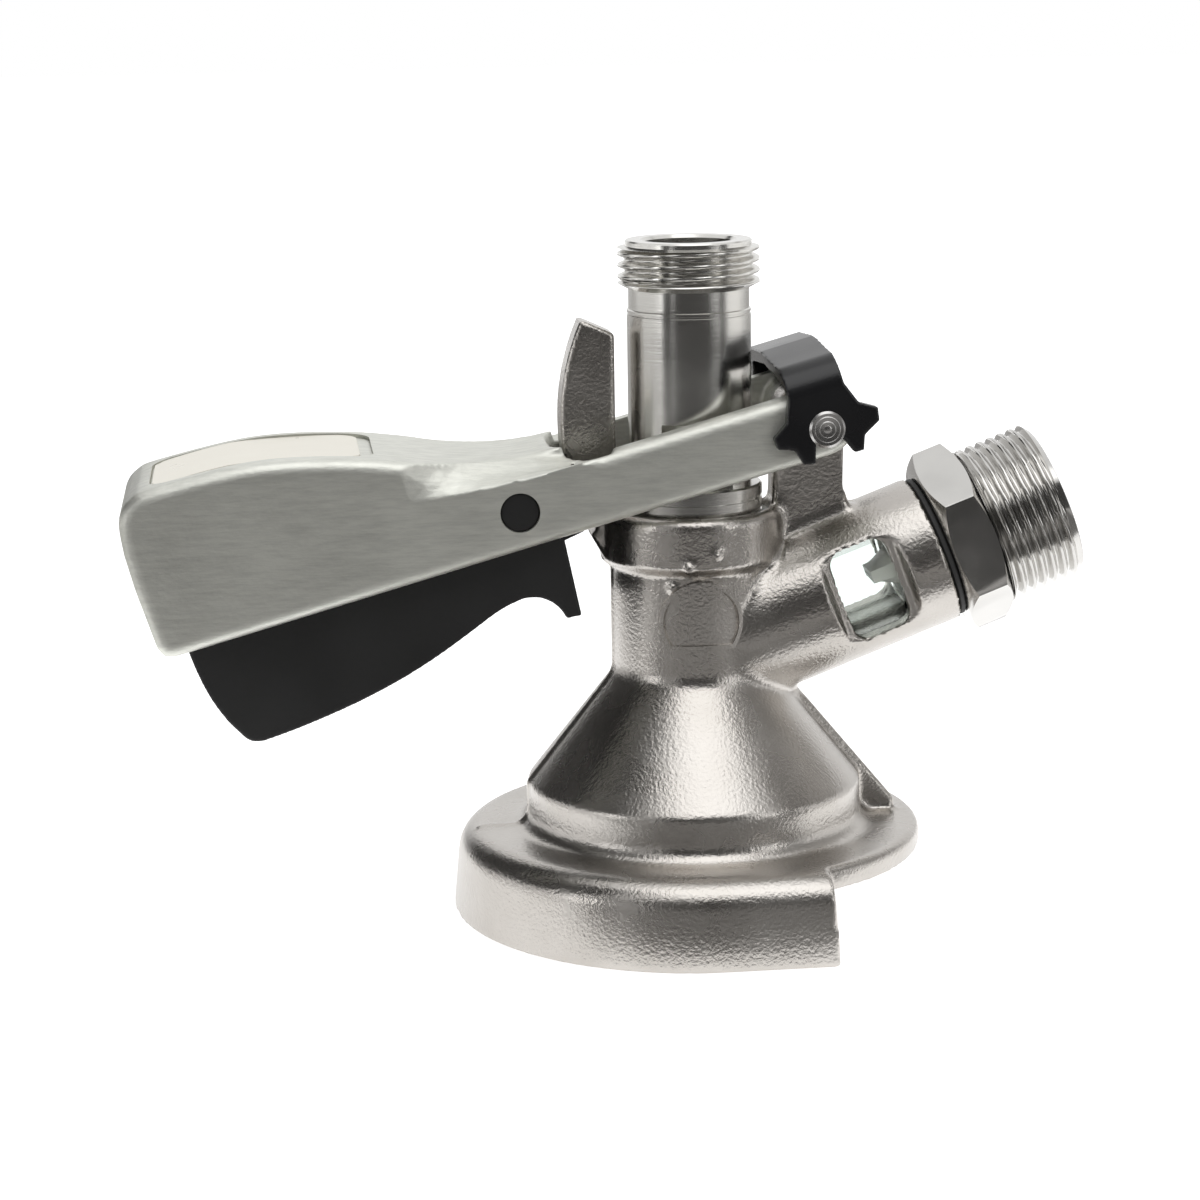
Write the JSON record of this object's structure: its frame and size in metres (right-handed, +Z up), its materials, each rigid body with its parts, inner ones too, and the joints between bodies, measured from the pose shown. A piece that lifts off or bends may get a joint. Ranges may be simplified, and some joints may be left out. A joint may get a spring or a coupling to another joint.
{
  "type": "keg coupler",
  "caption": "Slide-on keg coupler: a forked squeeze-trigger lever drives a threaded beer probe down through a cast housing with a sloping gas branch and sight glass.",
  "frame": {"origin": "on the probe axis, in the plane under the slide shoe", "axes": "+Z up along the probe, +X along the open side of the shoe and towards the gas branch, handle towards -X"},
  "size_m": [0.1558, 0.0798, 0.1101],
  "materials": {
    "cast_steel": "satin, bead-blasted casting",
    "turned_steel": "turned, bright",
    "fitting_steel": "turned, bright",
    "lever_metal": "satin, tumbled casting",
    "label_pad": "satin",
    "black_plastic": "fine grained",
    "clip_plastic": "satin",
    "pin_steel": "turned",
    "spring_steel": "drawn wire",
    "seal_rubber": "matt",
    "valve_rubber": "matt, pale",
    "white_plastic": "satin",
    "clear_glass": "clear"
  },
  "bodies": {
    "housing_body": {"housing": "cast_steel", "keg_seal": "seal_rubber", "neck_ring": "seal_rubber", "guide_bush": "white_plastic", "gas_fitting": "fitting_steel", "gas_washer": "white_plastic", "sight_glass": "clear_glass", "glass_seals": "seal_rubber", "lip_valve": "valve_rubber"},
    "probe_body": {"probe": "turned_steel", "tip_seal": "seal_rubber", "ball_cage": "white_plastic"},
    "ball_body": {"check_ball": "pin_steel"},
    "lever_body": {"lever": "lever_metal", "label_plate": "label_pad", "pivot_pin": "pin_steel", "trigger_pin": "black_plastic", "pin_clip": "clip_plastic", "trigger_spring": "spring_steel"},
    "trigger_body": {"trigger": "black_plastic"}
  },
  "joints": [
    {"name": "lever_hinge", "type": "hinge", "parent": "housing_body", "child": "lever_body", "pos_m": [0.0192, 0, 0.0813], "axis": [0, 1, 0], "range_deg": [0, 50]},
    {"name": "probe_slide", "type": "slide", "parent": "housing_body", "child": "probe_body", "axis": [0, 0, 1], "range_m": [0, 0.0166]},
    {"name": "ball_lift", "type": "slide", "parent": "probe_body", "child": "ball_body", "axis": [0, 0, 1], "range_m": [0, 0.0028]},
    {"name": "trigger_hinge", "type": "hinge", "parent": "lever_body", "child": "trigger_body", "pos_m": [-0.02925, 0, 0.06929], "axis": [0, 1, 0], "range_deg": [-6, 9], "stiffness_Nm_per_rad": 0.6, "springref_deg": -6, "deforming": ["trigger_spring"]}
  ],
  "couplings": [
    {"joint": "probe_slide", "follows": "lever_hinge", "m_per_rad": 0.019}
  ]
}
